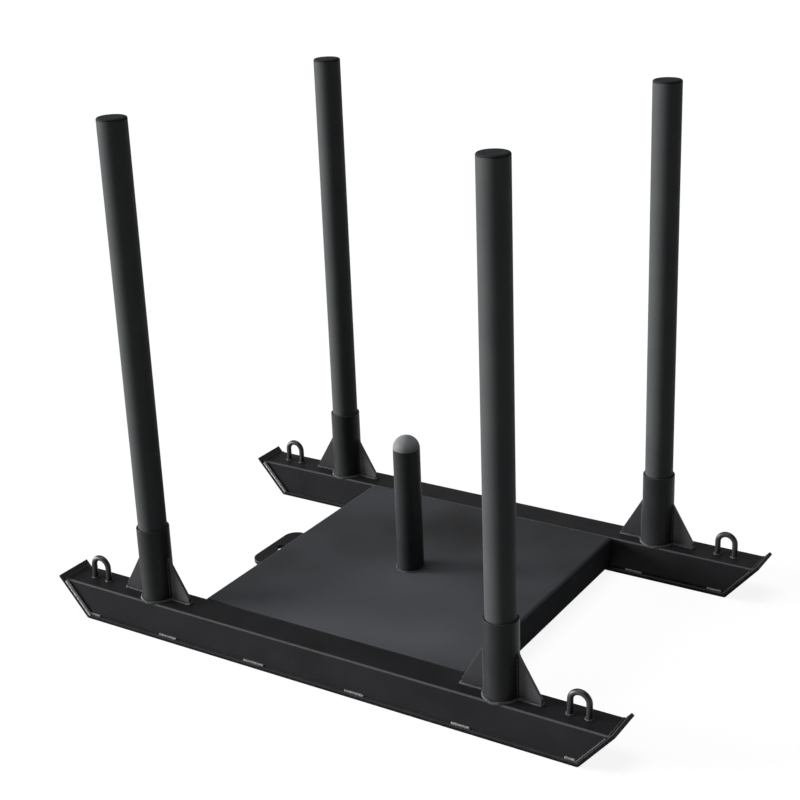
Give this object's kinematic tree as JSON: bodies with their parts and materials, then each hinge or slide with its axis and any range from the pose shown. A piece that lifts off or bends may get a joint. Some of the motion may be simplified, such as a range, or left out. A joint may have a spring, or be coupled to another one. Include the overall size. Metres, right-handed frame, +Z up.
{
  "type": "drag sled",
  "caption": "Low steel push and drag sled on two flat runners, with a weight tray and load pin, tow eyes, and upright push posts that lift out of their sockets.",
  "frame": {"origin": "on the floor, under the middle of the sled", "axes": "+X along the runners towards the rear, +Y towards the right runner, +Z up; the tow lug is at the front, at -X"},
  "size_m": [1.093, 0.67, 0.91],
  "materials": {
    "frame_powder_coat": "black powder coat, semi-matt, fine texture",
    "skid_steel": "black powder coat on flat steel bar, scuffed on the sole",
    "tray_powder_coat": "charcoal black powder coat on flat sheet, matt",
    "post_powder_coat": "black powder coat on round tube, satin",
    "cap_plastic": "black moulded plastic, satin"
  },
  "bodies": {
    "sled_frame": {"front_left_gusset_front": "frame_powder_coat", "front_left_gusset_rear": "frame_powder_coat", "front_left_socket": "frame_powder_coat", "front_left_tow_loop": "frame_powder_coat", "front_right_gusset_front": "frame_powder_coat", "front_right_gusset_rear": "frame_powder_coat", "front_right_socket": "frame_powder_coat", "front_right_tow_loop": "frame_powder_coat", "front_tow_lug": "frame_powder_coat", "left_runner_beam": "frame_powder_coat", "left_skid": "skid_steel", "load_pin_cap": "cap_plastic", "load_pin_tube": "post_powder_coat", "rear_left_gusset_front": "frame_powder_coat", "rear_left_gusset_rear": "frame_powder_coat", "rear_left_socket": "frame_powder_coat", "rear_left_tow_loop": "frame_powder_coat", "rear_right_gusset_front": "frame_powder_coat", "rear_right_gusset_rear": "frame_powder_coat", "rear_right_socket": "frame_powder_coat", "rear_right_tow_loop": "frame_powder_coat", "right_runner_beam": "frame_powder_coat", "right_skid": "skid_steel", "tray_rib": "frame_powder_coat", "weight_tray": "tray_powder_coat"},
    "front_left_post": {"front_left_post_tube": "post_powder_coat", "front_left_post_cap": "cap_plastic"},
    "front_right_post": {"front_right_post_tube": "post_powder_coat", "front_right_post_cap": "cap_plastic"},
    "rear_left_post": {"rear_left_post_tube": "post_powder_coat", "rear_left_post_cap": "cap_plastic"},
    "rear_right_post": {"rear_right_post_tube": "post_powder_coat", "rear_right_post_cap": "cap_plastic"}
  },
  "joints": [
    {"name": "front_left_post_lift", "type": "slide", "parent": "sled_frame", "child": "front_left_post", "axis": [0, 0, 1], "range_m": [0, 0.16]},
    {"name": "front_right_post_lift", "type": "slide", "parent": "sled_frame", "child": "front_right_post", "axis": [0, 0, 1], "range_m": [0, 0.16]},
    {"name": "rear_left_post_lift", "type": "slide", "parent": "sled_frame", "child": "rear_left_post", "axis": [0, 0, 1], "range_m": [0, 0.16]},
    {"name": "rear_right_post_lift", "type": "slide", "parent": "sled_frame", "child": "rear_right_post", "axis": [0, 0, 1], "range_m": [0, 0.16]}
  ]
}
